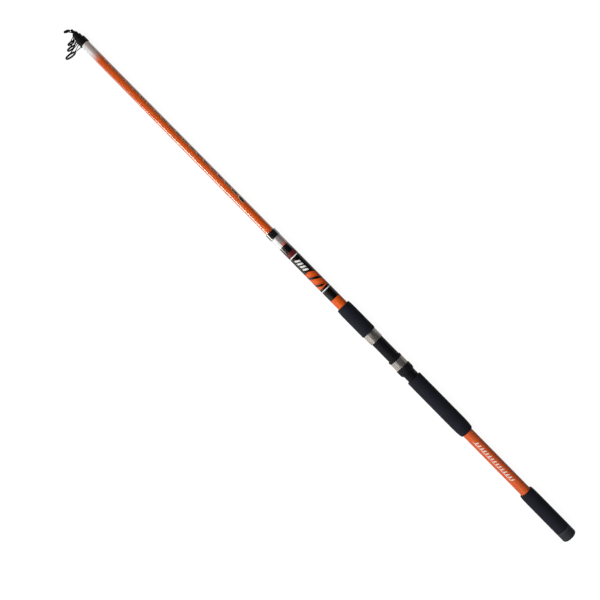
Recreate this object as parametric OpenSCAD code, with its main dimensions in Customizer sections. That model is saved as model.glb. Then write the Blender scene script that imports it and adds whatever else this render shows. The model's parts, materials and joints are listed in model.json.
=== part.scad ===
// Telescopic fishing rod in five sections, lying down. The butt end is at the origin, the tip points
// to +X, and the guides and the reel side point to +Y, rolled down until the large guide meets the floor.

/* [Handle] */
// Length of the handle, from the butt end to the top rim of its collar
handle_len = 899; // [880:1:1000]
// Outer diameter of the handle blank
blank_d = 24.4; // [24:0.1:25]
// Wall of the handle blank below its lock cone
handle_wall = 1.6; // [1.4:0.1:1.8]
// Length of the collar at the top of the handle
handle_collar_len = 16.5; // [12:0.5:24]
// Wall of the handle collar
handle_collar_wall = 0.8; // [0.6:0.1:1.4]

/* [Grips] */
// Diameter of the butt grip
butt_grip_d = 33.4; // [31:0.1:34]
// Length of the butt grip
butt_grip_len = 110; // [80:1:130]
// Length of bare blank between the butt grip and the rear grip
bare_len = 176; // [140:1:200]
// Diameter of the rear grip
rear_grip_d = 34.9; // [34:0.1:37]
// Length of the rear grip
rear_grip_len = 159; // [120:1:180]
// Diameter of the fore grip
fore_grip_d = 34; // [32:0.1:34.6]
// Length of the fore grip
fore_grip_len = 78; // [60:1:100]
// How far a grip's radius draws in at its slim end
grip_draw = 1.6; // [0.8:0.1:2]
// Length over which a grip draws in at its slim end
grip_draw_len = 20; // [10:1:30]
// How far the rear grip's radius draws in at its butt end
tail_draw = 3; // [1:0.1:4]
// Length over which the rear grip draws in at its butt end
tail_draw_len = 30; // [15:1:45]
// Rounding of a grip's other edges
grip_edge = 1.2; // [0.5:0.1:2]

/* [Butt cap] */
// Length of the rubber butt cap
butt_cap_len = 24; // [20:0.5:30]
// How much smaller in diameter the butt cap is than the butt grip
butt_cap_step = 0.2; // [0.1:0.1:1]
// Rounding of the butt cap's end
butt_cap_round = 5; // [3:0.5:6]
// Thickness of the butt cap's end wall
butt_cap_end = 6; // [5:0.5:8]
// Thickness of the screw plug's flange
plug_flange = 2; // [1.5:0.1:3]
// Length of the screw plug's threaded part
plug_len = 18; // [14:0.5:22]
// Wall of the threaded ring that is glued into the blank
butt_ring_wall = 1.2; // [0.8:0.1:1.6]
// Thickness of the damper pad on the screw plug
damper_len = 5; // [3:0.5:8]

/* [Reel seat] */
// Length of the reel seat's barrel
barrel_len = 134; // [125:1:150]
// Outer diameter of the reel seat's barrel, which is the thread's crest
barrel_d = 28.8; // [28.4:0.1:29]
// Depth of the flat for the reel's foot
foot_flat_depth = 1.2; // [0.6:0.1:1.3]
// Length of the fixed hood
fixed_hood_len = 23; // [18:0.5:28]
// Wall of a hood's plastic sleeve
hood_wall = 0.7; // [0.5:0.05:0.9]
// Wall of a hood's steel band
band_wall = 0.5; // [0.4:0.05:0.6]
// Width of the pockets for the reel's foot
pocket_w = 14; // [12:0.5:15]
// Depth of the fixed hood's pocket
fixed_pocket_depth = 16; // [12:0.5:17]
// Depth of the moving hood's pocket
moving_pocket_depth = 16; // [12:0.5:17]
// Length of the moving hood's steel band
moving_band_len = 19; // [15:0.5:24]
// Length of the moving hood's flared rim
rim_len = 6; // [4:0.5:8]
// Diameter of the moving hood's flared rim
rim_d = 32.4; // [32:0.1:33.4]
// Width of the key that stops the moving hood from turning
key_w = 4; // [3:0.1:5]
// Depth of the key's groove in the barrel
key_depth = 0.9; // [0.7:0.05:1.1]
// Length of the lock nut
nut_len = 17; // [14:0.5:20]
// Diameter of the lock nut
nut_d = 34; // [33:0.1:34.6]
// Length of the lock nut's tapered nose
nut_nose = 4; // [2:0.5:6]
// Number of grooves round the lock nut
nut_grooves = 24; // [16:1:30]
// Depth of the lock nut's grooves
nut_groove_depth = 0.6; // [0.3:0.1:0.8]
// Length of bare thread between the rear grip and the lock nut
thread_show = 17; // [17:0.5:22]
// Length of the thread
thread_len = 52; // [50:1:56]
// Pitch of the thread
thread_pitch = 3.2; // [2.8:0.1:3.6]
// Depth of the thread
thread_depth = 0.6; // [0.5:0.05:0.7]

/* [Section 2] */
// Length of section 2 between the handle and its own collar, pulled out
section_2_out = 553; // [500:1:580]
// Length of its lock cone in the handle
section_2_lock = 70; // [50:1:90]
// How far its radius tapers from the lock cone to the collar
section_2_taper = 0.3; // [0.1:0.05:0.4]
// Its wall below the next lock cone
section_2_wall = 1.75; // [1.6:0.05:1.9]
// Length of its collar
section_2_collar = 15; // [13:0.5:18]
// Outer diameter of its guide's ring
section_2_ring_d = 26; // [24:0.5:28]
// Bore of its guide's ring
section_2_ring_bore = 17; // [15:0.5:18]
// Distance of its guide's ring from the rod's axis
section_2_reach = 39; // [36:0.5:42]
// Distance of its guide's leg from its collar's lower edge
section_2_leg = 2.1; // [1.9:0.1:2.6]

/* [Section 3] */
// Length of section 3 between the collars, pulled out
section_3_out = 525; // [480:1:535]
// Length of its lock cone in section 2
section_3_lock = 60; // [45:1:75]
// How far its radius tapers from the lock cone to the collar
section_3_taper = 0.3; // [0.1:0.05:0.4]
// Its wall below the next lock cone
section_3_wall = 1.6; // [1.45:0.05:1.75]
// Length of its collar
section_3_collar = 9.5; // [9:0.5:12]
// Outer diameter of its guide's ring
section_3_ring_d = 20.5; // [19:0.5:22]
// Bore of its guide's ring
section_3_ring_bore = 13; // [11:0.5:13.5]
// Distance of its guide's ring from the rod's axis
section_3_reach = 27.5; // [25:0.5:30]
// Distance of its guide's leg from its collar's lower edge
section_3_leg = 2.1; // [1.9:0.1:2.6]

/* [Section 4] */
// Length of section 4 between the collars, pulled out
section_4_out = 505; // [460:1:515]
// Length of its lock cone in section 3
section_4_lock = 50; // [40:1:60]
// How far its radius tapers from the lock cone to the collar
section_4_taper = 0.2; // [0.1:0.05:0.4]
// Its wall below the next lock cone
section_4_wall = 1.4; // [1.25:0.05:1.5]
// Length of its collar
section_4_collar = 7.5; // [7:0.5:10]
// Outer diameter of its guide's ring
section_4_ring_d = 17; // [15.5:0.5:18.5]
// Bore of its guide's ring
section_4_ring_bore = 10; // [8:0.5:10.5]
// Distance of its guide's ring from the rod's axis
section_4_reach = 20; // [18:0.5:22]
// Distance of its guide's leg from its collar's lower edge
section_4_leg = 3.75; // [3.4:0.05:4.2]

/* [Tip] */
// Length of the tip's blank between section 4's collar and the tip-top, pulled out
tip_out = 460; // [420:1:480]
// Length of its lock cone in section 4
tip_lock = 40; // [30:1:50]
// Diameter of the tip's blank inside the tip-top
tip_d = 3.7; // [3:0.1:4.2]
// Outer diameter of the tip-top's tube
tip_tube_d = 5.8; // [5.4:0.1:6.4]
// Length of the tip-top's tube
tip_tube_len = 21.5; // [20:0.5:26]
// Length of the tip-top's tube that stands out of section 4 when the tip is pushed in
tip_tube_show = 10; // [10:0.5:14]
// Thickness of the tip-top tube's closed end
tip_tube_end = 3; // [2:0.5:5]
// Outer diameter of the tip-top's ring
tip_ring_d = 13.5; // [12.5:0.5:15]
// Bore of the tip-top's ring
tip_ring_bore = 8.2; // [7.6:0.1:8.6]
// Distance of the tip-top's ring from the rod's axis
tip_ring_reach = 9; // [8.5:0.1:10]
// How far the tip-top's ring stands above its tube
tip_ring_rise = 4.5; // [4:0.1:6]
// Lean of the tip-top's ring, its outer edge towards the tip
tip_ring_lean = 23; // [15:1:28]
// How far below the tube's top the tip-top's braces are brazed on
tip_brace_drop = 7.6; // [7:0.1:8]
// Length of the wrap that the tip-top's braces end in
tip_wrap_len = 2.4; // [2:0.1:3]
// Wall of the wrap that the tip-top's braces end in
tip_wrap_wall = 0.5; // [0.3:0.1:0.7]

/* [Guides] */
// Wall of a section's collar
collar_wall = 1.1; // [0.9:0.1:1.4]
// Chamfer on a collar's edges
collar_chamfer = 0.4; // [0.2:0.1:0.5]
// Diameter of a guide's wire
wire_d = 1.7; // [1.4:0.1:1.8]
// Radial wall of a guide's ring holder
holder_wall = 1.4; // [1.2:0.1:1.8]
// Width of a guide's ring holder along the rod
holder_w = 3.4; // [2.6:0.1:3.5]
// Distance of a ring's centre from the upper edge of its collar
ring_drop = 9; // [8:0.1:9.6]
// Lean of a guide's ring, its outer edge towards the tip
ring_lean = 8; // [4:1:12]
// Distance of a brace's foot from the upper edge of its collar
brace_inset = 3.4; // [3:0.1:3.7]
// Angle between a guide's outward line and the place on its ring where a brace meets it
brace_angle = 94; // [90:1:110]
// Angle between a guide's outward line and the place on its collar where a brace starts
brace_foot_angle = 26; // [15:1:35]

/* [Fits] */
// Radial clearance between telescoping sections, and of the hood and nut on the barrel
run_gap = 0.05; // [0.03:0.01:0.08]
// Radial clearance of the glue between pieces that are bonded
glue_gap = 0.03; // [0.02:0.01:0.05]
// Gap between faces of pieces that move against each other
face_gap = 0.3; // [0.2:0.05:0.5]
// How far a lock cone narrows in radius
lock_rise = 0.35; // [0.2:0.05:0.4]

/* [Hidden] */
$fn = 64;

// Colours
orange = [0.75, 0.28, 0.07];
pale_orange = [0.80, 0.45, 0.22];
gloss_black = [0.06, 0.06, 0.06];
foam_black = [0.12, 0.13, 0.145];
rubber_grey = [0.19, 0.20, 0.21];
plastic_black = [0.09, 0.09, 0.10];
steel = [0.55, 0.53, 0.50];
wire_grey = [0.16, 0.16, 0.17];
ceramic_grey = [0.30, 0.30, 0.32];
pad_tan = [0.60, 0.48, 0.34];
bare_alloy = [0.62, 0.63, 0.65];

// Places along the rod, from the butt end
butt_grip_x = butt_cap_len;
rear_grip_x = butt_grip_x + butt_grip_len + bare_len;
barrel_x = rear_grip_x + rear_grip_len;
fore_grip_x = barrel_x + barrel_len;
fixed_hood_x = fore_grip_x - fixed_hood_len;
nut_x = barrel_x + thread_show;
moving_band_x = nut_x + nut_len + face_gap;
rim_x = moving_band_x + moving_band_len;
plug_x = butt_cap_end + plug_flange;
blank_x = plug_x + face_gap;
damper_x = plug_x + plug_len + face_gap;

// Radii of the handle
blank_r = blank_d / 2;
handle_bore_r = blank_r - handle_wall;
butt_ring_r = handle_bore_r - glue_gap;
plug_r = butt_ring_r - butt_ring_wall - run_gap;
barrel_r = barrel_d / 2;
thread_root_r = barrel_r - thread_depth;
hood_bore_r = barrel_r + run_gap;
band_bore_r = hood_bore_r + hood_wall + glue_gap;
band_r = band_bore_r + band_wall;
foot_flat_y = barrel_r - foot_flat_depth;
butt_cap_r = (butt_grip_d - butt_cap_step) / 2;

// The floor lies under the thickest grip, and the guides roll down until the large ring meets it
guide_roll = asin((rear_grip_d - section_2_ring_d) / 2 / section_2_reach);

// Each section: pulled out length, lock length, taper, wall, collar length, ring diameter, bore, reach, leg
sections = [
    [section_2_out, section_2_lock, section_2_taper, section_2_wall, section_2_collar,
        section_2_ring_d, section_2_ring_bore, section_2_reach, section_2_leg],
    [section_3_out, section_3_lock, section_3_taper, section_3_wall, section_3_collar,
        section_3_ring_d, section_3_ring_bore, section_3_reach, section_3_leg],
    [section_4_out, section_4_lock, section_4_taper, section_4_wall, section_4_collar,
        section_4_ring_d, section_4_ring_bore, section_4_reach, section_4_leg]
];
function out_len(i) = sections[i][0];
function lock_len(i) = sections[i][1];
function taper(i) = sections[i][2];
function wall(i) = sections[i][3];
function collar_len(i) = sections[i][4];
function ring_r(i) = sections[i][5] / 2;
function ring_bore_r(i) = sections[i][6] / 2;
function reach(i) = sections[i][7];
function leg_inset(i) = sections[i][8];
last = len(sections) - 1;

// Radii of the nested tubes: each one's foot runs in the bore of the tube before it
function bore_r(i) = i < 0 ? handle_bore_r : top_r(i) - wall(i);
function mouth_r(i) = bore_r(i) - lock_rise;
function foot_r(i) = bore_r(i - 1) - run_gap;
function body_r(i) = mouth_r(i - 1) - run_gap;
function top_r(i) = body_r(i) - taper(i);
function collar_r(i) = top_r(i) + collar_wall;
function next_lock(i) = i < last ? lock_len(i + 1) : tip_lock;

// Places of the sections: the first is pulled out, and the others sit collar on collar
function rest_out(i) = i == 0 ? out_len(0) : face_gap;
function collar_x(i) = (i == 0 ? handle_len : top_x(i - 1)) + rest_out(i);
function top_x(i) = collar_x(i) + collar_len(i);
function foot_x(i) = collar_x(i) - out_len(i) - lock_len(i);

// Places of the tip
tip_tube_top = top_x(last) + tip_tube_show;
tip_tube_x = tip_tube_top - tip_tube_len;
tip_foot_x = tip_tube_x - tip_out - tip_lock;
tip_tube_r = tip_tube_d / 2;
tip_r = tip_d / 2;
tip_nose_len = tip_tube_end / 3;
tip_nose_r = tip_tube_r * 2 / 3;

// A profile of [radius, place] points turned about the rod's axis
module lathe(profile) {
    rotate([0, 90, 0]) rotate_extrude() polygon(profile);
}

// A plain tube with chamfered outer edges
module tube(x, length, outer_r, inner_r, chamfer) {
    lathe([
        [inner_r, x], [outer_r - chamfer, x], [outer_r, x + chamfer],
        [outer_r, x + length - chamfer], [outer_r - chamfer, x + length], [inner_r, x + length]
    ]);
}

// Quarter of an ellipse from [r - draw, x] up to [r, x + run], where a negative run goes the other way
function ease(x, run, r, draw, steps = 8) =
    [for (i = [0 : steps]) [r - draw * (1 - sin(90 * i / steps)), x + run * (1 - cos(90 * i / steps))]];
function backwards(points) = [for (i = [len(points) - 1 : -1 : 0]) points[i]];

// A foam grip on the handle blank, drawn in at its two ends
module grip(x, length, diameter, low_draw, low_run, high_draw, high_run) {
    r = diameter / 2;
    bore = blank_r + glue_gap;
    lathe(concat(
        [[bore, x]],
        ease(x, low_run, r, low_draw),
        backwards(ease(x + length, -high_run, r, high_draw)),
        [[bore, x + length]]
    ));
}

// A straight round wire between two points
module wire(from, to, diameter) {
    along = to - from;
    length = norm(along);
    translate(from)
        rotate([0, acos(along.z / length), atan2(along.y, along.x)])
            cylinder(h = length, d = diameter);
}

// Outline of the thread: trapezium ridges, one to each pitch
thread_base_w = 0.7 * thread_pitch;
thread_crest_w = 0.25 * thread_pitch;
thread_ridges = floor(thread_len / thread_pitch);
function thread_profile(x) = [
    for (i = [0 : thread_ridges - 1]) let (middle = x + (i + 0.5) * thread_pitch)
        each [
            [thread_root_r, middle - thread_base_w / 2], [barrel_r, middle - thread_crest_w / 2],
            [barrel_r, middle + thread_crest_w / 2], [thread_root_r, middle + thread_base_w / 2]
        ]
];

// Turns the guide side, which is modelled towards +Y, down to the floor
module guide_side() {
    rotate([-guide_roll, 0, 0]) children();
}

module handle_blank() {
    color(orange) lathe([
        [handle_bore_r, blank_x], [blank_r, blank_x], [blank_r, handle_len],
        [mouth_r(-1), handle_len], [handle_bore_r, handle_len - lock_len(0)]
    ]);
}

module handle_collar() {
    color(gloss_black) tube(handle_len - handle_collar_len, handle_collar_len,
        blank_r + glue_gap + handle_collar_wall, blank_r + glue_gap, collar_chamfer);
}

module fore_grip() {
    color(foam_black) grip(fore_grip_x, fore_grip_len, fore_grip_d,
        grip_edge, grip_edge, grip_draw, grip_draw_len);
}

module rear_grip() {
    color(foam_black) grip(rear_grip_x, rear_grip_len, rear_grip_d,
        tail_draw, tail_draw_len, grip_edge, grip_edge);
}

module butt_grip() {
    color(foam_black) grip(butt_grip_x, butt_grip_len, butt_grip_d,
        grip_edge, grip_edge, grip_draw, grip_draw_len);
}

module butt_thread_ring() {
    color(bare_alloy) tube(blank_x, plug_len - face_gap, butt_ring_r, butt_ring_r - butt_ring_wall, 0);
}

module butt_plug() {
    flange_r = blank_r - glue_gap;
    core_r = plug_r / 2;
    color(plastic_black) lathe([
        [0, butt_cap_end], [flange_r, butt_cap_end], [flange_r, plug_x], [plug_r, plug_x],
        [plug_r, plug_x + plug_len], [core_r, plug_x + plug_len], [core_r, plug_x], [0, plug_x]
    ]);
}

module butt_cap() {
    bore = blank_r + face_gap;
    end = butt_grip_x - face_gap;
    color(rubber_grey) lathe(concat(
        [[0, 0]],
        ease(0, butt_cap_round, butt_cap_r, butt_cap_round),
        [[butt_cap_r, end], [bore, end], [bore, butt_cap_end], [0, butt_cap_end]]
    ));
}

module butt_damper() {
    color(pad_tan) lathe([[0, damper_x], [plug_r, damper_x], [plug_r, damper_x + damper_len],
        [0, damper_x + damper_len]]);
}

// The room under a hood, on the guide side, where an end of the reel's foot goes in
module foot_room(x, length, outer_r) {
    intersection() {
        guide_side() translate([x, foot_flat_y, -pocket_w / 2])
            cube([length, outer_r, pocket_w]);
        rotate([0, 90, 0]) translate([0, 0, x]) cylinder(h = length, r = outer_r);
    }
}

// The groove along the barrel's other side, and the key in it
module key_room(x, length, width, depth) {
    guide_side() translate([x, -band_r, -width / 2])
        cube([length, depth + band_r - barrel_r, width]);
}

module reel_seat_barrel() {
    bore = blank_r + glue_gap;
    flat_len = fixed_hood_x + fixed_pocket_depth - barrel_x;
    color(plastic_black) difference() {
        lathe(concat(
            [[bore, barrel_x], [thread_root_r, barrel_x]],
            thread_profile(barrel_x),
            [[thread_root_r, barrel_x + thread_len], [barrel_r, barrel_x + thread_len],
                [barrel_r, fore_grip_x], [bore, fore_grip_x]]
        ));
        foot_room(barrel_x - face_gap, flat_len + face_gap, band_r);
        key_room(barrel_x - face_gap, fixed_hood_x - barrel_x, key_w, key_depth);
    }
}

module fixed_hood() {
    color(plastic_black) difference() {
        tube(fixed_hood_x, fixed_hood_len, band_bore_r - glue_gap, barrel_r + glue_gap, 0);
        foot_room(fixed_hood_x - face_gap, fixed_pocket_depth + face_gap, band_r);
    }
}

module fixed_hood_band() {
    color(steel) tube(fixed_hood_x, fixed_hood_len, band_r, band_bore_r, band_wall / 2);
}

module moving_hood() {
    length = moving_band_len + rim_len;
    sleeve_r = band_bore_r - glue_gap;
    rim_r = rim_d / 2;
    color(plastic_black) difference() {
        union() {
            lathe([
                [hood_bore_r, moving_band_x], [sleeve_r, moving_band_x], [sleeve_r, rim_x],
                [band_r, rim_x], [rim_r, rim_x + rim_len / 2],
                [rim_r, rim_x + rim_len - collar_chamfer],
                [rim_r - collar_chamfer, rim_x + rim_len], [hood_bore_r, rim_x + rim_len]
            ]);
            intersection() {
                key_room(moving_band_x, length, key_w - 2 * face_gap, key_depth - face_gap);
                tube(moving_band_x, length, sleeve_r, blank_r, 0);
            }
        }
        foot_room(moving_band_x + length - moving_pocket_depth, length, band_bore_r);
    }
}

module moving_hood_band() {
    color(steel) tube(moving_band_x, moving_band_len, band_r, band_bore_r, band_wall / 2);
}

module lock_nut() {
    nut_r = nut_d / 2;
    color(plastic_black) difference() {
        lathe([
            [hood_bore_r, nut_x], [band_r, nut_x], [nut_r, nut_x + nut_nose],
            [nut_r, nut_x + nut_len - collar_chamfer],
            [nut_r - collar_chamfer, nut_x + nut_len], [hood_bore_r, nut_x + nut_len]
        ]);
        for (i = [0 : nut_grooves - 1])
            rotate([360 * i / nut_grooves, 0, 0])
                translate([nut_x - face_gap, nut_r, 0])
                    rotate([0, 90, 0]) cylinder(h = nut_len + 2 * face_gap, r = nut_groove_depth);
    }
}

// A blank whose bore tapers with its outside, with a foot cone and a lock cone for the next one
module section_blank(i) {
    color(orange) lathe([
        [body_r(i) - wall(i), foot_x(i)], [foot_r(i), foot_x(i)], [body_r(i), foot_x(i) + lock_len(i)],
        [top_r(i), collar_x(i)], [top_r(i), top_x(i)], [mouth_r(i), top_x(i)],
        [bore_r(i), top_x(i) - next_lock(i)]
    ]);
}

module section_collar(i) {
    color(gloss_black) tube(collar_x(i), collar_len(i), collar_r(i), top_r(i) + glue_gap, collar_chamfer);
}

// The outside of a ring's holder: a disc about X that stands at the given place and leans to the tip
module ring_holder(centre, lean, outer_r) {
    edge = holder_wall / 3;
    translate(centre) rotate([0, 0, -lean])
        lathe([
            [0, -holder_w / 2], [outer_r - edge, -holder_w / 2], [outer_r, -holder_w / 2 + edge],
            [outer_r, holder_w / 2 - edge], [outer_r - edge, holder_w / 2], [0, holder_w / 2]
        ]);
}

// The seat of the hard ring, cut through the holder and the wires that meet it
module ring_seat(centre, lean, outer_r) {
    translate(centre) rotate([0, 0, -lean]) rotate([0, 90, 0])
        cylinder(h = holder_w + 2 * face_gap, r = outer_r - holder_wall, center = true);
}

// The hard ring in the holder, round towards its bore
module ring_insert(centre, lean, outer_r, bore_r) {
    round_r = holder_w / 2;
    seat_r = outer_r - holder_wall - glue_gap;
    translate(centre) rotate([0, 0, -lean]) rotate([0, 90, 0]) rotate_extrude() intersection() {
        union() {
            translate([bore_r + round_r, 0]) circle(round_r);
            translate([bore_r + round_r, -round_r]) square([outer_r, holder_w]);
        }
        translate([0, -round_r]) square([seat_r, holder_w]);
    }
}

// A point on a leaning ring, at an angle from its outward line
function on_ring(centre, lean, r, angle) =
    centre + r * [cos(angle) * sin(lean), cos(angle) * cos(lean), sin(angle)];

function ring_centre(i) = [top_x(i) - ring_drop, reach(i), 0];

// A leg that is brazed to a collar's surface: its foot starts inside the collar, which is cut away later
module leg(x, foot_at_r, foot_angle, ring_point) {
    foot = [x, foot_at_r * cos(foot_angle), foot_at_r * sin(foot_angle)];
    wire(foot, ring_point, wire_d);
    translate(foot) rotate([foot_angle - 90, 0, 0]) sphere(wire_d);
}

module section_guide_frame(i) {
    centre = ring_centre(i);
    holder_r = ring_r(i) - holder_wall / 2;
    color(wire_grey) guide_side() difference() {
        union() {
            ring_holder(centre, ring_lean, ring_r(i));
            leg(collar_x(i) + leg_inset(i), collar_r(i), 0, on_ring(centre, ring_lean, holder_r, 180));
            for (side = [-1, 1])
                leg(top_x(i) - brace_inset, collar_r(i), side * brace_foot_angle,
                    on_ring(centre, ring_lean, holder_r, side * brace_angle));
        }
        ring_seat(centre, ring_lean, ring_r(i));
        rotate([0, 90, 0]) translate([0, 0, collar_x(i) - collar_len(i)])
            cylinder(h = 3 * collar_len(i), r = collar_r(i));
    }
}

module section_guide_ring(i) {
    color(ceramic_grey) guide_side()
        ring_insert(ring_centre(i), ring_lean, ring_r(i), ring_bore_r(i));
}

module tip_blank() {
    end = tip_tube_top - tip_tube_end;
    color(pale_orange) lathe([
        [0, tip_foot_x], [bore_r(last) - run_gap, tip_foot_x],
        [mouth_r(last) - run_gap, tip_foot_x + tip_lock], [tip_r, tip_tube_x], [tip_r, end], [0, end]
    ]);
}

module tip_top_tube() {
    end = tip_tube_top - tip_tube_end;
    bore = tip_r + glue_gap;
    color(gloss_black) lathe([
        [bore, tip_tube_x], [tip_tube_r - collar_chamfer, tip_tube_x],
        [tip_tube_r, tip_tube_x + collar_chamfer], [tip_tube_r, tip_tube_top - tip_nose_len],
        [tip_nose_r, tip_tube_top], [0, tip_tube_top], [0, end], [bore, end]
    ]);
}

tip_ring_centre = [tip_tube_top + tip_ring_rise, tip_ring_reach, 0];

module tip_top_frame() {
    holder_r = (tip_ring_d - holder_wall) / 2;
    brace_x = tip_tube_top - tip_brace_drop;
    color(wire_grey) guide_side() difference() {
        union() {
            ring_holder(tip_ring_centre, tip_ring_lean, tip_ring_d / 2);
            wire([tip_tube_top - tip_tube_end / 2, 0, 0],
                on_ring(tip_ring_centre, tip_ring_lean, holder_r, 180), wire_d);
            for (side = [-1, 1])
                wire([brace_x, tip_r * cos(brace_foot_angle), side * tip_r * sin(brace_foot_angle)],
                    on_ring(tip_ring_centre, tip_ring_lean, holder_r, side * brace_angle), wire_d);
            tube(brace_x - tip_wrap_len / 2, tip_wrap_len, tip_tube_r + tip_wrap_wall, tip_r, 0);
            wire([brace_x, 0, 0], [brace_x, -tip_tube_r - wire_d, 0], wire_d);
        }
        ring_seat(tip_ring_centre, tip_ring_lean, tip_ring_d / 2);
        rotate([0, 90, 0]) translate([0, 0, tip_tube_x])
            cylinder(h = tip_tube_len - tip_nose_len, r = tip_tube_r);
        rotate([0, 90, 0]) translate([0, 0, tip_tube_top - tip_nose_len])
            cylinder(h = tip_nose_len, r1 = tip_tube_r, r2 = tip_nose_r);
    }
}

module tip_top_ring() {
    color(ceramic_grey) guide_side()
        ring_insert(tip_ring_centre, tip_ring_lean, tip_ring_d / 2, tip_ring_bore / 2);
}

handle_blank();
handle_collar();
fore_grip();
rear_grip();
butt_grip();
butt_thread_ring();
butt_plug();
butt_cap();
butt_damper();
reel_seat_barrel();
fixed_hood();
fixed_hood_band();
moving_hood();
moving_hood_band();
lock_nut();
for (i = [0 : last]) {
    name = str("section_", i + 2);
    section_blank(i);
    section_collar(i);
    section_guide_frame(i);
    section_guide_ring(i);
}
tip_blank();
tip_top_tube();
tip_top_frame();
tip_top_ring();
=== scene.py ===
"""Looks of a telescopic fishing rod: lacquered blanks, foam grips, a tube reel seat and wire guides.

The rod lies along +X with its butt end at the origin, and its guides point to +Y.
Lengths are in metres unless a name or a comment says millimetres.
"""

import json
import math

import bmesh
import bpy
from mathutils import Matrix, Vector, noise


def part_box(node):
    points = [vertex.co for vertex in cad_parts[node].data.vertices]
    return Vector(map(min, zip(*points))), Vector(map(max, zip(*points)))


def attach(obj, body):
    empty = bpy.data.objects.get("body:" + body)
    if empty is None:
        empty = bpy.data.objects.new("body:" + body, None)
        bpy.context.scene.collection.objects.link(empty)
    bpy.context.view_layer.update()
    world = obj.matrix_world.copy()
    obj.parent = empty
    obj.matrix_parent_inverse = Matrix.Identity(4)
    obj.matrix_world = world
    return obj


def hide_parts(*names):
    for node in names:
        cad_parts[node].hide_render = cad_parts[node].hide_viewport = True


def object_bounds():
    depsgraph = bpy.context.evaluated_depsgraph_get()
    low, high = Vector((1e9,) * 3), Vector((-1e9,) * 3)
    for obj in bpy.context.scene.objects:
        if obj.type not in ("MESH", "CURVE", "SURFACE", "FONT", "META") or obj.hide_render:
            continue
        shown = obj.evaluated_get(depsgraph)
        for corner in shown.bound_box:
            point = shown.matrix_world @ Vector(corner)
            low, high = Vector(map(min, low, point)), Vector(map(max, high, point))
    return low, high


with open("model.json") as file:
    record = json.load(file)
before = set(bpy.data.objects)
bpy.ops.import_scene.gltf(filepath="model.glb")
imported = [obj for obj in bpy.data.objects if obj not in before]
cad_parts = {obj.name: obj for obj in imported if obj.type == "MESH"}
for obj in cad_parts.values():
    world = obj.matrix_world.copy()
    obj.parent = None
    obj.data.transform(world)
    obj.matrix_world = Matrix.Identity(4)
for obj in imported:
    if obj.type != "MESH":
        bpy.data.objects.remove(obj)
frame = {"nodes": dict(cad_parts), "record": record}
cad_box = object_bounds()
nodes = frame["nodes"]
scene = bpy.context.scene
MM = 0.001
TURN = 2 * math.pi


def srgb(red, green, blue):
    """A screen colour of 0 to 255 as linear RGBA."""
    def linear(value):
        share = value / 255
        return share / 12.92 if share <= 0.04045 else ((share + 0.055) / 1.055) ** 2.4
    return (linear(red), linear(green), linear(blue), 1.0)


# Colours
ORANGE = srgb(237, 94, 20)
SECTION_ORANGE = srgb(224, 86, 4)
BUTT_ORANGE = srgb(230, 98, 44)
PALE_ORANGE = srgb(222, 130, 62)
PEARL = srgb(202, 186, 176)
GREY_PEARL = srgb(162, 150, 147)
# The pearl as lit on the guide side, which faces the lamps: a painted highlight
PEARL_PAINTED_HIGHLIGHT = srgb(246, 245, 247)
WHITE = srgb(244, 242, 240)
INK = srgb(12, 10, 10)
CREAM = srgb(232, 212, 186)
RED = srgb(150, 42, 46)
GLOSS_BLACK = srgb(9, 9, 10)
GLOSS_WORN = srgb(26, 26, 28)
FOAM_DARK = srgb(21, 22, 27)
FOAM_LIGHT = srgb(41, 42, 53)
RUBBER_DARK = srgb(46, 48, 52)
RUBBER_LIGHT = srgb(68, 70, 75)
SEAT_DARK = srgb(16, 16, 20)
SEAT_LIGHT = srgb(34, 34, 40)
STEEL_DARK = srgb(132, 118, 100)
STEEL_LIGHT = srgb(190, 191, 194)
WIRE_DARK = srgb(9, 9, 10)
WIRE_LIGHT = srgb(22, 22, 24)
CERAMIC_DARK = srgb(9, 9, 10)
CERAMIC_LIGHT = srgb(18, 18, 20)
ALLOY_DARK = srgb(150, 152, 156)
ALLOY_LIGHT = srgb(196, 198, 202)
PAD_DARK = srgb(132, 104, 72)
PAD_LIGHT = srgb(176, 146, 108)
PURE_WHITE = (1.0, 1.0, 1.0, 1.0)


# Camera: straight above the rod, turned so that the rod runs from the lower right to the upper left
FRAME_PX = 600
BUTT_PX = (570.4, 537.1)
AXIS_TURN = math.radians(45.455)
METRES_PER_PX = 2.1 * MM
CAMERA_HEIGHT = 2.3
SENSOR_MM = 36


def make_camera():
    """Places the camera so that the butt end falls on its pixel, with the scale true at the rod's axis."""
    towards_tip = Vector((-math.cos(AXIS_TURN), -math.sin(AXIS_TURN)))
    towards_guides = Vector((-math.sin(AXIS_TURN), math.cos(AXIS_TURN)))
    middle = (Vector((FRAME_PX / 2, FRAME_PX / 2)) - Vector(BUTT_PX)) * METRES_PER_PX
    right = Vector((towards_tip.x, towards_guides.x, 0))
    up = Vector((-towards_tip.y, -towards_guides.y, 0))
    data = bpy.data.cameras.new("camera")
    data.sensor_width = SENSOR_MM
    data.lens = SENSOR_MM * CAMERA_HEIGHT / (FRAME_PX * METRES_PER_PX)
    camera = bpy.data.objects.new("camera", data)
    camera.matrix_world = Matrix.Translation(
        (middle.dot(towards_tip), middle.dot(towards_guides), CAMERA_HEIGHT)
    ) @ Matrix((right, up, Vector((0, 0, 1)))).transposed().to_4x4()
    scene.collection.objects.link(camera)
    scene.camera = camera


# Half the width over which two paints blend at an edge
EDGE_MM = 0.15
# Sockets of a Mix node that count for colours: share, first and second colour, and the result
MIX_INPUTS = (0, 6, 7)
MIX_RESULT = 2


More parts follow.
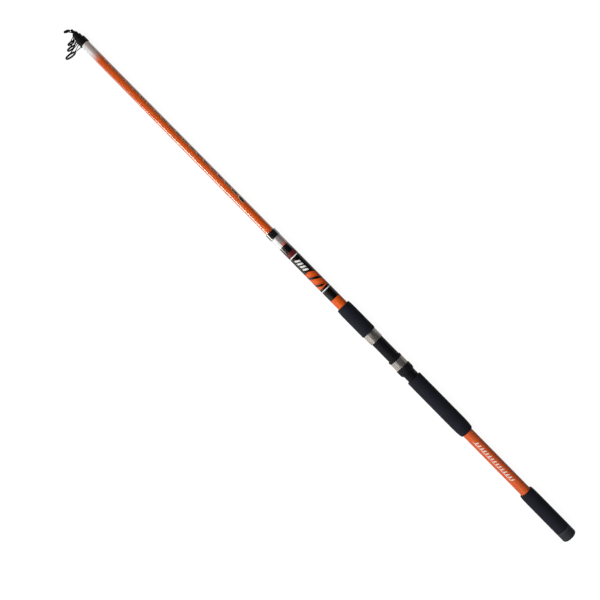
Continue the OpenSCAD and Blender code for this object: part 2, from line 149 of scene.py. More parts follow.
class Tree:
    """Short calls that build the nodes of one material or of the world."""

    def __init__(self, owner):
        owner.use_nodes = True
        self.owner = owner
        self.nodes = owner.node_tree.nodes
        self.links = owner.node_tree.links

    def put(self, socket, value):
        """Sets a socket to a plain value, or links another node's socket to it."""
        if isinstance(value, bpy.types.NodeSocket):
            self.links.new(value, socket)
        else:
            socket.default_value = value

    def add(self, kind, inputs, **settings):
        """A new node with its inputs and settings."""
        node = self.nodes.new(kind)
        for key, value in settings.items():
            setattr(node, key, value)
        for key, value in inputs.items():
            self.put(node.inputs[key], value)
        return node

    def math(self, operation, first, second=0.0):
        return self.add("ShaderNodeMath", {0: first, 1: second}, operation=operation).outputs[0]

    def plus(self, first, second):
        return self.math("ADD", first, second)

    def minus(self, first, second):
        return self.math("SUBTRACT", first, second)

    def times(self, first, second):
        return self.math("MULTIPLY", first, second)

    def both(self, *masks):
        """A mask that holds where all of the given ones do."""
        total = masks[0]
        for mask in masks[1:]:
            total = self.times(total, mask)
        return total

    def remap(self, value, source, target):
        """Moves a value in a straight line from one range to another, and holds it at the ends."""
        inputs = {
            "Value": value,
            "From Min": source[0], "From Max": source[1],
            "To Min": target[0], "To Max": target[1],
        }
        return self.add("ShaderNodeMapRange", inputs).outputs[0]

    def spread(self, value, low, high):
        """Moves a 0 to 1 value to the range from low to high."""
        return self.remap(value, (0.0, 1.0), (low, high))

    def rise(self, value, low, high):
        """0 below low and 1 above high, with an eased slope between them."""
        inputs = {"Value": value, "From Min": low, "From Max": high}
        return self.add("ShaderNodeMapRange", inputs, interpolation_type="SMOOTHSTEP").outputs[0]

    def past(self, value, start):
        """1 past a place in millimetres."""
        return self.rise(value, start - EDGE_MM, start + EDGE_MM)

    def between(self, value, low, high, soft=EDGE_MM):
        """1 between low and high, with edges of the given softness."""
        inside = self.rise(value, low - soft, low + soft)
        return self.minus(inside, self.rise(value, high - soft, high + soft))

    def mix(self, share, first, second):
        """The first colour where share is 0, and the second where it is 1."""
        node = self.add("ShaderNodeMix", {}, data_type="RGBA")
        for index, value in zip(MIX_INPUTS, (share, first, second)):
            self.put(node.inputs[index], value)
        return node.outputs[MIX_RESULT]

    def noise(self, vector, scale, detail):
        inputs = {"Vector": vector, "Scale": scale, "Detail": detail}
        return self.add("ShaderNodeTexNoise", inputs).outputs["Fac"]

    def vector(self, x, y, z):
        return self.add("ShaderNodeCombineXYZ", {0: x, 1: y, 2: z}).outputs[0]

    def point(self):
        """The point on the piece at rest."""
        return self.add("ShaderNodeTexCoord", {}).outputs["Object"]

    def along_and_round(self, point):
        """A point's place along the rod in millimetres, and its angle round the rod.
        The angle is 0 on the guide side and a quarter turn on top."""
        parts = self.add("ShaderNodeSeparateXYZ", {0: point}).outputs
        angle = self.math("ARCTAN2", parts["Z"], parts["Y"])
        return self.math("DIVIDE", parts["X"], MM), angle


class Material(Tree):
    """A material with one Principled shader."""

    def __init__(self, name):
        super().__init__(bpy.data.materials.new(name))
        self.shader = self.nodes["Principled BSDF"]

    def finish(self, **inputs):
        """Sets the shader's inputs, named with underscores for spaces."""
        for key, value in inputs.items():
            self.put(self.shader.inputs[key.replace("_", " ")], value)
        return self.owner

    def bump(self, height, strength=1.0):
        """A relief whose height is in metres."""
        inputs = {"Height": height, "Distance": 1.0, "Strength": strength}
        return self.add("ShaderNodeBump", inputs).outputs[0]


# Lacquer on the blanks
FLAKE_SCALE = 2600
FLAKE_TINT = (0.86, 1.14)
PEEL_SCALE = 420
PEEL_HEIGHT = 1.2e-6
FINE_DETAIL = 1.0
SCUFF_SCALE = 30
SCUFF_DETAIL = 5.0
SCUFF_STRETCH = 0.3
SCUFF_SWING = 0.06
WRAP_PITCH_MM = 2.6
WRAP_HEIGHT = 1e-6
PAINT_SPECULAR = 0.25
COAT_IOR = 1.8
COAT_ROUGHNESS = 0.19
HANDLE_ROUGHNESS = 0.42
SECTION_ROUGHNESS = 0.3
HANDLE_COAT_MM = (835, 866)


def lacquer(name, colour_of, roughness, coat_mm=None):
    """Lacquer over paint, on a blank with the fine ridges that a taped cure leaves.
    colour_of(material, place in mm, angle) gives the paint's colour socket.
    The clear coat covers all, or else it builds up between two places in millimetres along the rod."""
    m = Material(name)
    point = m.point()
    place, angle = m.along_and_round(point)
    paint = colour_of(m, place, angle)
    flake = m.spread(m.noise(point, FLAKE_SCALE, FINE_DETAIL), *FLAKE_TINT)
    scuff_at = m.vector(m.times(place, MM * SCUFF_STRETCH), angle, 0.0)
    scuff = m.noise(scuff_at, SCUFF_SCALE, SCUFF_DETAIL)
    peel = m.times(m.noise(point, PEEL_SCALE, FINE_DETAIL), PEEL_HEIGHT)
    turns = m.math("DIVIDE", place, WRAP_PITCH_MM / TURN)
    ridge = m.times(m.math("SINE", m.plus(turns, angle)), WRAP_HEIGHT)
    return m.finish(
        Base_Color=m.add("ShaderNodeVectorMath", {0: paint, 1: flake}, operation="MULTIPLY").outputs[0],
        Roughness=m.spread(scuff, roughness - SCUFF_SWING, roughness + SCUFF_SWING),
        Specular_IOR_Level=PAINT_SPECULAR,
        Normal=m.bump(m.plus(peel, ridge)),
        Coat_Weight=m.rise(place, *coat_mm) if coat_mm else 1.0,
        Coat_Roughness=COAT_ROUGHNESS,
        Coat_IOR=COAT_IOR,
    )


# How far into its collar a blank's paint reaches
RIM_MM = 2.0
# Softness of a stripe's edge, as a share of its pitch
STRIPE_SOFT = 0.03
# Cosines of the angles round the rod between which pearl paint turns from its far-side tone to its painted
# highlight on the guide side, which faces the lamps
PAINTED_HIGHLIGHT_ANGLES = (0.1, 0.36)


def bare_rim(m, place, colour, collar):
    """Leaves the end of a blank unpainted and dark where its collar covers it."""
    return m.mix(m.past(place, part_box(collar)[0].x / MM + RIM_MM), colour, INK)


def stripes(m, value, start, pitch, share):
    """A mask of stripes, each the given share of the pitch wide, counted from start."""
    phase = m.math("FRACT", m.math("DIVIDE", m.minus(value, start), pitch))
    return m.between(phase, 0.0, share, STRIPE_SOFT)


def painted_highlight_side(m, angle):
    """1 on the guide side, which faces the lamps and gets the painted highlight on the pearl paint, and 0
    on the far side.
    """
    return m.rise(m.math("COSINE", angle), *PAINTED_HIGHLIGHT_ANGLES)


# Paint of the handle, in millimetres along the rod or round it. Rings: from, to, colour
HANDLE_RINGS = [
    (705, 730.4, INK), (730.4, 732.8, WHITE), (732.8, 738, INK),
    (783, 826, INK), (826, 828.6, WHITE), (828.6, 858, INK),
]
BUTT_PAINT_MM = (499, 501)
TOP_FADE_MM = (850, 872)
# How much farther the white fade reaches on the guide side, which faces the lamps: a painted highlight
PAINTED_HIGHLIGHT_LEAD_MM = 14
RED_LINES_MM = (830.2, 840.6)
RED_LINE_PITCH_MM = 2.6
RED_LINE_SHARE = 0.45
SASH_ZONE_MM = (741, 783)
SASH_PITCH_MM = 21
SASH_TURNS = 2
SASH_SHARE = 0.3
TRIM_START = 0.36
TRIM_SHARE = 0.07
MARK_ANGLE = math.radians(78)
MARK_SLANT = 0.55
DASH_ZONE_MM = (172, 285)
DASH_PITCH_MM = 7.6
DASH_SHARE = 0.4
DASH_ARC_MM = (-2.6, 3.4)
LINE_ARC_MM = (-4.6, -3.6)
BAR_ZONE_MM = (788, 819)
BAR_PITCH_MM = 8
BAR_SHARE = 0.62
BAR_ARC_MM = (-5.2, 5.2)


def handle_ground(m, place, angle):
    """Orange in two tones, with a white fade under the collar that is lighter and reaches farther on the
    guide side, which faces the lamps: a painted highlight.
    """
    colour = m.mix(m.rise(place, *BUTT_PAINT_MM), BUTT_ORANGE, ORANGE)
    # Painted highlight: the white is lighter and reaches farther on the guide side
    highlight_share = painted_highlight_side(m, angle)
    reach = m.plus(place, m.times(highlight_share, PAINTED_HIGHLIGHT_LEAD_MM))
    return m.mix(m.rise(reach, *TOP_FADE_MM), colour, m.mix(highlight_share, GREY_PEARL, PEARL_PAINTED_HIGHLIGHT))


def with_dashes(m, colour, arc, slant):
    """Adds a row of slanted white dashes with a thin line along it."""
    row = m.both(
        m.between(arc, *DASH_ARC_MM),
        stripes(m, slant, DASH_ZONE_MM[0], DASH_PITCH_MM, DASH_SHARE),
    )
    marks = m.math("MAXIMUM", row, m.between(arc, *LINE_ARC_MM))
    return m.mix(m.both(marks, m.between(slant, *DASH_ZONE_MM)), colour, WHITE)


def with_sashes(m, colour, place, angle):
    """Adds black sashes with red trim that wind round the handle."""
    zone = m.between(place, *SASH_ZONE_MM)
    winding = SASH_TURNS * SASH_PITCH_MM / TURN
    wound = m.plus(place, m.times(m.minus(angle, MARK_ANGLE), winding))
    sash = stripes(m, wound, SASH_ZONE_MM[0], SASH_PITCH_MM, SASH_SHARE)
    colour = m.mix(m.both(zone, sash), colour, INK)
    trim_from = SASH_ZONE_MM[0] + TRIM_START * SASH_PITCH_MM
    trim = stripes(m, wound, trim_from, SASH_PITCH_MM, TRIM_SHARE)
    return m.mix(m.both(zone, trim), colour, RED)


def with_rings(m, colour, place):
    """Adds the black and white rings, and fine red lines on one of the black ones."""
    for start, end, paint in HANDLE_RINGS:
        colour = m.mix(m.between(place, start, end), colour, paint)
    lines = m.both(
        m.between(place, *RED_LINES_MM),
        stripes(m, place, RED_LINES_MM[0], RED_LINE_PITCH_MM, RED_LINE_SHARE),
    )
    return m.mix(lines, colour, RED)


def with_bars(m, colour, arc, slant):
    """Adds slanted white bars on the black ring above the sashes."""
    bars = m.both(
        m.between(slant, *BAR_ZONE_MM),
        m.between(arc, *BAR_ARC_MM),
        stripes(m, slant, BAR_ZONE_MM[0], BAR_PITCH_MM, BAR_SHARE),
    )
    return m.mix(bars, colour, WHITE)


def handle_paint(m, place, angle):
    """Paint of the handle, from its dark end under the butt grip to its dark rim under the collar."""
    arc = m.times(m.minus(angle, MARK_ANGLE), girth("handle_blank") / MM)
    slant = m.plus(place, m.times(arc, MARK_SLANT))
    colour = handle_ground(m, place, angle)
    colour = with_dashes(m, colour, arc, slant)
    colour = with_sashes(m, colour, place, angle)
    colour = with_rings(m, colour, place)
    colour = with_bars(m, colour, arc, slant)
    colour = m.mix(m.past(place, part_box("butt_grip")[0].x / MM), INK, colour)
    return bare_rim(m, place, colour, "handle_collar")


# The long broken stripe on section 2: where its head and its slim tail start and where it ends,
# with half its width at each of these places
SPEAR_MM = (985, 1018, 1400)
SPEAR_HALF_ARC_MM = (4.6, 2.0, 1.0)
SPEAR_ANGLE = math.radians(130)
SPEAR_SLANT = 1.2
SPEAR_PITCH_MM = 21
SPEAR_SHARE = 0.66
SPEAR_OUTLINE_MM = 0.7
SPEAR_OUTLINE_SHARE = 0.8
# Where a section's fade to white starts and ends, before its collar
FADE_MM = (51, 20)


def spear(m, colour, place, angle, radius_mm):
    """Adds the long stripe: black with a pale outline, broken on a slant, and slimmer towards the tip."""
    head, tail, end = SPEAR_MM
    at_head, at_tail, at_end = SPEAR_HALF_ARC_MM
    off = m.math("ABSOLUTE", m.times(m.minus(angle, SPEAR_ANGLE), radius_mm))
    half = m.remap(place, (head, tail), (at_head, at_tail))
    thinning = m.remap(place, (tail, end), (0.0, at_tail - at_end))
    inside = m.minus(m.minus(half, thinning), off)
    slant = m.plus(place, m.times(off, SPEAR_SLANT))
    zone = m.between(slant, head, end)
    for paint, margin, share in (
        (CREAM, SPEAR_OUTLINE_MM, SPEAR_OUTLINE_SHARE),
        (INK, 0.0, SPEAR_SHARE),
    ):
        pieces = stripes(m, slant, head, SPEAR_PITCH_MM, share)
        colour = m.mix(m.both(zone, m.past(inside, -margin), pieces), colour, paint)
    return colour


def section_paint(name, with_spear):
    """Paint of a section: orange that fades to white under its collar, with the long stripe or without.
    The white is lighter on the guide side, a painted highlight.
    """
    radius_mm = girth(f"{name}_blank") / MM
    collar_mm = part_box(f"{name}_collar")[0].x / MM

    def colour_of(m, place, angle):
        fade = m.rise(place, collar_mm - FADE_MM[0], collar_mm - FADE_MM[1])
        # Pearl under the collar, lighter on the guide side that faces the lamps: a painted highlight
        colour = m.mix(fade, SECTION_ORANGE, m.mix(painted_highlight_side(m, angle), PEARL, PEARL_PAINTED_HIGHLIGHT))
        colour = bare_rim(m, place, colour, f"{name}_collar")
        return spear(m, colour, place, angle, radius_mm) if with_spear else colour

    return colour_of


def tip_paint(m, place, angle):
    """Plain orange that turns paler towards the tip. It is the same all round, whatever the angle."""
    low, high = (end.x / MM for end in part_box("tip_blank"))
    return m.mix(m.rise(place, low, high), SECTION_ORANGE, PALE_ORANGE)


# Moulded finishes: dark and light colour, roughness, scale and height of the grain, specular level
# and weight of the clear coat
MOULDED = {
    "collar_gloss": (GLOSS_BLACK, GLOSS_WORN, 0.2, 500.0, 2e-6, 0.3, 1.0),
    "collar_satin": (GLOSS_BLACK, GLOSS_WORN, 0.5, 700.0, 4e-6, 0.15, 0.0),
    "seat_plastic": (SEAT_DARK, SEAT_LIGHT, 0.5, 900.0, 2e-6, 0.1, 0.0),
    "cap_rubber": (RUBBER_DARK, RUBBER_LIGHT, 0.66, 1100.0, 6e-5, 0.16, 0.0),
    "guide_wire": (WIRE_DARK, WIRE_LIGHT, 0.5, 900.0, 4e-6, 0.06, 0.0),
    "guide_ceramic": (CERAMIC_DARK, CERAMIC_LIGHT, 0.35, 800.0, 3e-6, 0.06, 0.0),
}
CLOUD_SCALE = 90.0
CLOUD_DETAIL = 4.0
CLOUD_SHARE = 0.4
WORN_EDGES = (0.52, 0.6)
WORN_SHARE = 0.6
GRAIN_DETAIL = 2.0
SHEEN_SWING = 0.07
GLOSS_COAT_ROUGHNESS = 0.14


def moulded(name):
    """Moulded plastic or rubber: a fine grain, uneven sheen and edges rubbed a little lighter."""
    dark, light, roughness, grain, grain_height, specular, coat = MOULDED[name]
    m = Material(name)
    point = m.point()
    cloud = m.noise(point, CLOUD_SCALE, CLOUD_DETAIL)
    worn = m.rise(m.add("ShaderNodeNewGeometry", {}).outputs["Pointiness"], *WORN_EDGES)
    share = m.plus(m.times(cloud, CLOUD_SHARE), m.times(worn, WORN_SHARE))
    return m.finish(
        Base_Color=m.mix(share, dark, light),
        Roughness=m.spread(cloud, roughness - SHEEN_SWING, roughness + SHEEN_SWING),
        Specular_IOR_Level=specular,
        Normal=m.bump(m.times(m.noise(point, grain, GRAIN_DETAIL), grain_height)),
        Coat_Weight=coat,
        Coat_Roughness=GLOSS_COAT_ROUGHNESS,
        Coat_IOR=COAT_IOR,
    )


# Foam of the grips
CELL_SCALE = 1500
CELL_HEIGHT = 1.2e-4
CELL_STRENGTH = 0.7
FOAM_CLOUD_SCALE = 55.0
FOAM_CLOUD_DETAIL = 5.0
FOAM_CLOUD_HEIGHT = 0.8
SPECK_SCALE = 900.0
SPECK_DETAIL = 2.0
FOAM_ROUGHNESS = (0.62, 0.86)
FOAM_SPECULAR = 0.1
FOAM_SHEEN = 0.02
FOAM_SHEEN_ROUGHNESS = 0.5


def foam():
    """Closed-cell foam: dark, with a fine pitted skin and soft sheen."""
    m = Material("grip_foam")
    point = m.point()
    cloud = m.noise(point, FOAM_CLOUD_SCALE, FOAM_CLOUD_DETAIL)
    speck = m.noise(point, SPECK_SCALE, SPECK_DETAIL)
    cells = m.add("ShaderNodeTexVoronoi", {"Vector": point, "Scale": CELL_SCALE}).outputs["Distance"]
    height = m.times(m.plus(cells, m.times(cloud, FOAM_CLOUD_HEIGHT)), CELL_HEIGHT)
    return m.finish(
        Base_Color=m.mix(m.math("DIVIDE", m.plus(cloud, speck), 2.0), FOAM_DARK, FOAM_LIGHT),
        Roughness=m.spread(speck, *FOAM_ROUGHNESS),
        Specular_IOR_Level=FOAM_SPECULAR,
        Normal=m.bump(height, CELL_STRENGTH),
        Sheen_Weight=FOAM_SHEEN,
        Sheen_Roughness=FOAM_SHEEN_ROUGHNESS,
    )


# Drawn metals: dark and light colour, roughness, and roughly how many broad streaks there are per radian
METALS = {
    "hood_steel": (STEEL_DARK, STEEL_LIGHT, 0.55, 5.0),
    "bare_alloy": (ALLOY_DARK, ALLOY_LIGHT, 0.34, 3.0),
}
METALLIC = 0.88
STREAK_STRETCH = 0.01
STREAK_EDGES = (0.42, 0.58)
BROAD_DETAIL = 2.0
BROAD_SHARE = 0.7
FINE_STREAKS = 9
FINE_STREAK_DETAIL = 3.0
FINE_SHARE = 0.3
STREAK_HEIGHT = 1.5e-6
STREAK_ROUGHNESS = (-0.06, 0.08)


def metal(name):
    """Drawn metal with broad and fine streaks along the rod."""
    dark, light, roughness, streaks = METALS[name]
    m = Material(name)
    place, angle = m.along_and_round(m.point())
    along = m.times(place, STREAK_STRETCH)
    broad = m.noise(m.vector(m.times(angle, streaks), along, 0.0), 1.0, BROAD_DETAIL)
    fine = m.noise(m.vector(m.times(angle, streaks * FINE_STREAKS), along, 0.0), 1.0, FINE_STREAK_DETAIL)
    share = m.plus(m.times(m.rise(broad, *STREAK_EDGES), BROAD_SHARE), m.times(fine, FINE_SHARE))
    return m.finish(
        Base_Color=m.mix(share, dark, light),
        Metallic=METALLIC,
        Roughness=m.spread(fine, roughness + STREAK_ROUGHNESS[0], roughness + STREAK_ROUGHNESS[1]),
        Normal=m.bump(m.times(fine, STREAK_HEIGHT)),
    )


# Felt of the damper pad
FELT_SCALE = 700.0
FELT_DETAIL = 6.0
FELT_HEIGHT = 2e-4
FELT_ROUGHNESS = 0.95


def felt():
    """Pressed cork and felt."""
    m = Material("damper_pad")
    grain = m.noise(m.point(), FELT_SCALE, FELT_DETAIL)
    return m.finish(
        Base_Color=m.mix(grain, PAD_DARK, PAD_LIGHT),
        Roughness=FELT_ROUGHNESS,
        Normal=m.bump(m.times(grain, FELT_HEIGHT)),
    )


# Turned pieces. A face whose normal has less than AXIAL of its length along the radius is an end face,
# and a point of an outline that is off a line by less than STRAIGHT lies on it.
SEGMENTS = 96
SHARP_ANGLE = math.radians(32)
AXIAL = 0.2
PLACE_DIGITS = 5
RADIUS_DIGITS = 6
STRAIGHT = 2e-6
TINY = 1e-9
CURVE_STEPS = 3
MOST_BEND = 0.5


def girth(node):
    """Outer radius of a node that is turned about the rod's axis."""
    low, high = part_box(node)
    return (high.z - low.z) / 2


def walls(node):
    """The outer and the inner outline of a turned node, as (place, radius) points from butt to tip."""
    mesh = nodes[node].data
    outer, inner = {}, {}
    for face in mesh.polygons:
        radial = Vector((0, face.center.y, face.center.z)).normalized()
        outwards = face.normal.dot(radial)
        if abs(outwards) < AXIAL:
            continue
        wall = outer if outwards > 0 else inner
        for corner in face.vertices:
            point = mesh.vertices[corner].co
            wall[round(point.x, PLACE_DIGITS)] = math.hypot(point.y, point.z)
    return [straightened(sorted(wall.items())) for wall in (outer, inner)]


def straightened(points):
    """Leaves out the points of an outline that lie on the line between their neighbours."""
    kept = points[:1]
    for here, after in zip(points[1:], points[2:] + [None]):
        before = kept[-1]
        if after is not None:
            slope = (after[1] - before[1]) / (after[0] - before[0])
            if abs(before[1] + slope * (here[0] - before[0]) - here[1]) < STRAIGHT:
                continue
        kept.append(here)
    return kept


def on_curve(start, leave, end, enter, t):
    """A point on the curve from start to end that leaves and enters them along the given tangents."""
    return (
        (2 * t**3 - 3 * t**2 + 1) * start + (t**3 - 2 * t**2 + t) * leave
        + (3 * t**2 - 2 * t**3) * end + (t**3 - t**2) * enter
    )


def rounded(points):
    """An outline with points added on a smooth curve through the given ones."""
    last = len(points) - 1
    curve = []
    for i in range(last):
        p0, p1, p2, p3 = (Vector(points[min(max(i + k, 0), last)]) for k in (-1, 0, 1, 2))
        reach = (p2 - p1).length
        leave = (p2 - p0) * min(reach / max((p2 - p0).length, TINY), MOST_BEND)
        enter = (p3 - p1) * min(reach / max((p3 - p1).length, TINY), MOST_BEND)
        curve += [tuple(on_curve(p1, leave, p2, enter, k / CURVE_STEPS)) for k in range(CURVE_STEPS)]
    return curve + [points[-1]]


def turned(name, outline, closed, relief=None):
    """A mesh turned from an outline of (place, radius) points.
    A closed outline makes a ring or tube, and an open one gets a flat face at each end.
    relief(place, angle, radius) is added to the radius."""
    work = bmesh.new()
    rings = []
    for place, radius in outline:
        ring = []
        for i in range(SEGMENTS):
            angle = TURN * i / SEGMENTS
            r = radius + (relief(place, angle, radius) if relief else 0)
            ring.append(work.verts.new((place, r * math.cos(angle), r * math.sin(angle))))
        rings.append(ring)
    skinned(work, rings, closed)
    if not closed:
        work.faces.new(rings[0][::-1])
        work.faces.new(rings[-1])
    return shown(name, work)


def skinned(work, rings, closed):
    """Joins each ring of vertices to the next with faces, and the last to the first if closed."""
    pairs = list(zip(rings, rings[1:]))
    if closed:
        pairs.append((rings[-1], rings[0]))
    for low, high in pairs:
        for i in range(len(low)):
            j = (i + 1) % len(low)
            work.faces.new((low[i], low[j], high[j], high[i]))


def shown(name, work):
    """Links a finished mesh to the scene, smooth except at its sharp edges."""
    bmesh.ops.recalc_face_normals(work, faces=work.faces)
    mesh = bpy.data.meshes.new(name)
    work.to_mesh(mesh)
    work.free()
    mesh.shade_smooth()
    mesh.set_sharp_from_angle(angle=SHARP_ANGLE)
    piece = bpy.data.objects.new(name, mesh)
    scene.collection.objects.link(piece)
    return piece


def stand_for(piece, node, body, material):
    """The piece takes a node's place on its body, with a finish."""
    piece.data.materials.append(material)
    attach(piece, body)
    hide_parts(node)


def tube(name, node, body, material):
    """A smooth blank in place of a turned node, hollow where the node is."""
    outer, inner = walls(node)
    piece = turned(name, outer + inner[::-1], closed=bool(inner))
    stand_for(piece, node, body, material)


# Grips
FOAM_STEP = 1.6 * MM
FOAM_RELIEF = 0.07 * MM
FOAM_RELIEF_SCALE = 160


def spaced(points, step):
    """An outline with long straight stretches cut into steps."""
    cut = []
    for (x0, r0), (x1, r1) in zip(points, points[1:]):
        count = max(1, round(math.hypot(x1 - x0, r1 - r0) / step))
        cut += [(x0 + (x1 - x0) * k / count, r0 + (r1 - r0) * k / count) for k in range(count)]
    return cut + [points[-1]]


def foam_relief(place, angle, radius):
    """How far the foam's skin swells or sinks, so that it isn't perfectly turned."""
    point = Vector((place, radius * math.cos(angle), radius * math.sin(angle)))
    return FOAM_RELIEF * noise.noise(point * FOAM_RELIEF_SCALE)


def grip(name, node, material):
    """A foam grip with a slightly uneven skin and a plain bore."""
    outer, inner = walls(node)
    skin = spaced(rounded(outer), FOAM_STEP)
    bore = {round(r, RADIUS_DIGITS) for x, r in inner}

    def relief(place, angle, radius):
        return 0 if round(radius, RADIUS_DIGITS) in bore else foam_relief(place, angle, radius)

    piece = turned(name, skin + inner[::-1], closed=True, relief=relief)
    stand_for(piece, node, "handle", material)


def butt_boot(material):
    """The rubber cap: a cup with a rounded end."""
    outer, inner = walls("butt_cap")
    piece = turned("butt_boot", rounded(outer) + inner[::-1], closed=False)
    stand_for(piece, "butt_cap", "butt_cap", material)


# Damper pad, from the plug to its free face: share of its length, and share of its radius
DAMPER_OUTLINE = [(0.0, 0.93), (0.12, 0.99), (0.7, 0.99), (0.9, 0.94), (0.98, 0.78), (1.0, 0.4)]


def damper_pad(material):
    """The felt pad on the screw plug: flat where it rests on the plug, and crowned on its free face."""
    low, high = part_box("butt_damper")
    radius = girth("butt_damper")
    outline = [(low.x + along * (high.x - low.x), share * radius) for along, share in DAMPER_OUTLINE]
    piece = turned("damper_pad", rounded(outline), closed=False)
    stand_for(piece, "butt_damper", "butt_damper", material)


# Reel seat's barrel, with its thread, the flat for the reel's foot and the key groove.
# The thread's base and crest are shares of its pitch. The middle of the flat faces GUIDE_ANGLE.
# Even angles nearer to an exact one than CLEAR_SHARE of half a segment are left out.
THREAD_LENGTH = 52 * MM
THREAD_DEPTH = 0.6 * MM
THREAD_BASE = 0.7
THREAD_CREST = 0.25
THREAD_RUNOUT = 3.2 * MM
THREAD_RINGS = 260
FLAT_DEPTH = 1.2 * MM
FLAT_END = 596 * MM
KEY_WIDTH = 4 * MM
KEY_DEPTH = 0.9 * MM
GUIDE_ANGLE = -math.radians(6.552)
BARREL_SEGMENTS = 144
WALL_TILT = math.radians(0.3)
STEP_LENGTH = 1e-5
CLEAR_SHARE = 0.4


class Barrel:
    """Shape of the barrel. Its angles are counted from the middle of the flat."""

    def __init__(self):
        node = "reel_seat_barrel"
        couplings = frame["record"]["behaviour"]["couplings"]
        self.low, self.high = (end.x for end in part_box(node))
        self.crest = girth(node)
        self.bore = min(radius for place, radius in walls(node)[1])
        self.pitch = TURN * next(c["ratio"] for c in couplings if c["joint"] == "hood_slide")
        self.thread_end = self.low + THREAD_LENGTH
        self.key_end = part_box("fixed_hood")[0].x
        self.key_half = math.asin(KEY_WIDTH / 2 / self.crest)
        self.flat_half = math.acos(1 - FLAT_DEPTH / self.crest)

    def angles(self):
        """Even angles, with exact ones at the flat's edges and a pair at each wall of the key groove."""
        exact = [-self.flat_half % TURN, self.flat_half]
        for side in (-1, 1):
            exact += [math.pi + side * self.key_half, math.pi + side * (self.key_half + WALL_TILT)]
        clear = CLEAR_SHARE * math.pi / BARREL_SEGMENTS
        even = (TURN * i / BARREL_SEGMENTS for i in range(BARREL_SEGMENTS))
        return sorted(exact + [a for a in even if all(abs(a - e) > clear for e in exact)])

    def places(self):
        """Close rings along the thread, then pairs where the thread, the key groove and the flat end."""
        thread = [self.low + THREAD_LENGTH * i / THREAD_RINGS for i in range(THREAD_RINGS + 1)]
        steps = [self.thread_end + STEP_LENGTH]
        for end in (self.key_end, FLAT_END):
            steps += [end - STEP_LENGTH, end]
        return thread + steps + [self.high]

    def ridge(self, place, angle):
        """Height of the thread above its root: a trapezium ridge that winds round the barrel."""
        if place > self.thread_end:
            return THREAD_DEPTH
        turn = (place - self.low) / self.pitch - angle / TURN
        off = abs(turn - round(turn))
        slope = (THREAD_BASE / 2 - off) / (THREAD_BASE / 2 - THREAD_CREST / 2)
        to_end = min(place - self.low, self.thread_end - place)
        return THREAD_DEPTH * min(max(slope, 0.0), 1.0) * min(max(to_end / THREAD_RUNOUT, 0.0), 1.0)

    def radius(self, place, angle):
        """Outer radius, cut back by the flat and by the key groove opposite it."""
        r = self.crest - THREAD_DEPTH + self.ridge(place, angle)
        from_key = abs(angle - math.pi)
        if place < FLAT_END and math.cos(angle) > 0:
            r = min(r, (self.crest - FLAT_DEPTH) / math.cos(angle))
        if place < self.key_end and from_key <= self.key_half + WALL_TILT / 2:
            r = min(r, (self.crest - KEY_DEPTH) / math.cos(from_key))
        return r


def seat_barrel(material):
    """The barrel with a thread that truly winds."""
    shape = Barrel()
    angles = shape.angles()
    work = bmesh.new()

    def ring(place, radius_of):
        found = []
        for angle in angles:
            r = radius_of(place, angle)
            turn = angle + GUIDE_ANGLE
            found.append(work.verts.new((place, r * math.cos(turn), r * math.sin(turn))))
        return found

    rings = [ring(place, shape.radius) for place in shape.places()]
    rings += [ring(place, lambda place, angle: shape.bore) for place in (shape.high, shape.low)]
    skinned(work, rings, closed=True)
    piece = shown("seat_barrel", work)
    stand_for(piece, "reel_seat_barrel", "handle", material)


def dress(material, *names):
    """Gives CAD nodes a new finish."""
    for name in names:
        slots = nodes[name].data.materials
        slots.clear()
        slots.append(material)


def build_blanks(finish):
    """The blanks from the handle to the tip, with the collars and guides on them.
    finish holds the moulded materials."""
    paint = lacquer("handle_lacquer", handle_paint, HANDLE_ROUGHNESS, HANDLE_COAT_MM)
    tube("handle_tube", "handle_blank", "handle", paint)
    dress(finish["collar_gloss"], "handle_collar")
    for number in (2, 3, 4):
        name = f"section_{number}"
        colour_of = section_paint(name, with_spear=number == 2)
        paint = lacquer(f"{name}_lacquer", colour_of, SECTION_ROUGHNESS)
        tube(f"{name}_tube", f"{name}_blank", name, paint)
        dress(finish["collar_satin"], f"{name}_collar")
        dress(finish["guide_wire"], f"{name}_guide_frame")
        dress(finish["guide_ceramic"], f"{name}_guide_ring")
    paint = lacquer("tip_lacquer", tip_paint, SECTION_ROUGHNESS)
    tube("tip_rod", "tip_blank", "tip", paint)
    dress(finish["collar_satin"], "tip_top_tube")
    dress(finish["guide_wire"], "tip_top_frame")
    dress(finish["guide_ceramic"], "tip_top_ring")


def build_fittings(finish):
    """The grips, the reel seat and the butt closure. finish holds the moulded materials."""
    foam_skin = foam()
    for end in ("fore", "rear", "butt"):
        grip(f"{end}_foam", f"{end}_grip", foam_skin)
    butt_boot(finish["cap_rubber"])
    seat_barrel(finish["seat_plastic"])
    dress(finish["seat_plastic"], "fixed_hood", "moving_hood", "lock_nut", "butt_plug")
    dress(metal("hood_steel"), "fixed_hood_band", "moving_hood_band")
    dress(metal("bare_alloy"), "butt_thread_ring")
    damper_pad(felt())


# Stage: a floor and a backdrop that look white, a dark ceiling that only gloss mirrors, and a dim fill.
# The backdrop has given way to the ceiling at BACKDROP_TOP, the sine of an angle above the horizon.
FLOOR_HALF = 7.0
FLOOR_GLOW = 0.955
FLOOR_COLOUR = srgb(120, 120, 120)
BACKDROP = 1.0
BACKDROP_TOP = 0.14
CEILING = 0.03
AMBIENT = 0.11


def rays(tree):
    """1 for rays from the camera, and 1 for mirrored and see-through ones."""
    path = tree.add("ShaderNodeLightPath", {}).outputs
    direct = path["Is Camera Ray"]
    bent = tree.math("MAXIMUM", path["Is Glossy Ray"], path["Is Transmission Ray"])
    return direct, tree.times(bent, tree.minus(1.0, direct))


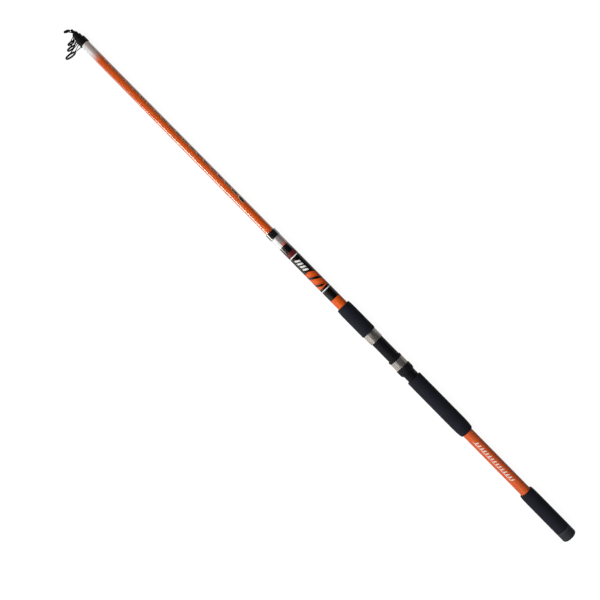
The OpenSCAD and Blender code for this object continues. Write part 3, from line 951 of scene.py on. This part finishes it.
def make_floor():
    """A white floor that keeps a faint shadow of the rod."""
    mesh = bpy.data.meshes.new("floor")
    height = cad_box[0].z
    corners = [(x * FLOOR_HALF, y * FLOOR_HALF, height) for x, y in ((-1, -1), (1, -1), (1, 1), (-1, 1))]
    mesh.from_pydata(corners, [], [(0, 1, 2, 3)])
    floor = bpy.data.objects.new("floor", mesh)
    scene.collection.objects.link(floor)
    m = Material("floor")
    seen, mirrored = rays(m)
    m.finish(
        Base_Color=FLOOR_COLOUR,
        Roughness=1.0,
        Specular_IOR_Level=0.0,
        Emission_Color=PURE_WHITE,
        Emission_Strength=m.times(m.plus(seen, mirrored), FLOOR_GLOW),
    )
    mesh.materials.append(m.owner)


def make_world():
    """A white backdrop with an even dim fill. Glossy pieces mirror it, with a dark ceiling above it."""
    scene.world = bpy.data.worlds.new("world")
    w = Tree(scene.world)
    direction = w.add("ShaderNodeTexCoord", {}).outputs["Generated"]
    up = w.add("ShaderNodeSeparateXYZ", {0: direction}).outputs["Z"]
    level = w.remap(up, (0.0, BACKDROP_TOP), (BACKDROP, CEILING))
    seen, mirrored = rays(w)
    backdrop = w.times(seen, BACKDROP - AMBIENT)
    reflected = w.times(mirrored, w.minus(level, AMBIENT))
    background = w.nodes["Background"].inputs
    w.put(background["Color"], PURE_WHITE)
    w.put(background["Strength"], w.plus(AMBIENT, w.plus(backdrop, reflected)))


# Soft boxes on the guide side: place, size, watts, colour, whether they light matt surfaces, and whether
# gloss mirrors them. The key lights the handle and the top lamp section 2. The handle mirrors the dim
# panel, and the low strip makes the highlight along section 2.
PLAIN_LIGHT = (1.0, 1.0, 1.0)
WARM_LIGHT = (1.0, 0.92, 0.8)
LAMPS = {
    "key": ((0.3, 1.5, 1.7), (1.8, 1.2), 33, PLAIN_LIGHT, True, False),
    "top": ((1.45, 1.0, 1.65), (1.0, 0.7), 13, PLAIN_LIGHT, True, False),
    "panel": ((0.0, 1.6, 1.3), (1.7, 1.5), 15, PLAIN_LIGHT, False, True),
    "strip": ((1.2, 1.6, 0.13), (0.76, 0.3), 16, WARM_LIGHT, False, True),
}


def soft_box(name, place, size, watts, colour, matt, gloss):
    """A rectangular lamp that faces the rod and that the camera doesn't see."""
    data = bpy.data.lights.new(name, "AREA")
    data.shape = "RECTANGLE"
    data.size, data.size_y = size
    data.energy = watts
    data.color = colour
    lamp = bpy.data.objects.new(name, data)
    back = Vector((0, place[1], place[2])).normalized()
    side = Vector((1, 0, 0))
    lamp.matrix_world = Matrix.Translation(place) @ Matrix(
        (side, back.cross(side), back)
    ).transposed().to_4x4()
    lamp.visible_camera = False
    lamp.visible_diffuse = matt
    lamp.visible_glossy = gloss
    scene.collection.objects.link(lamp)


make_camera()
moulded_finishes = {name: moulded(name) for name in MOULDED}
build_blanks(moulded_finishes)
build_fittings(moulded_finishes)
make_floor()
make_world()
for lamp_name, values in LAMPS.items():
    soft_box(lamp_name, *values)
scene.view_settings.view_transform = "Standard"

bpy.context.view_layer.update()
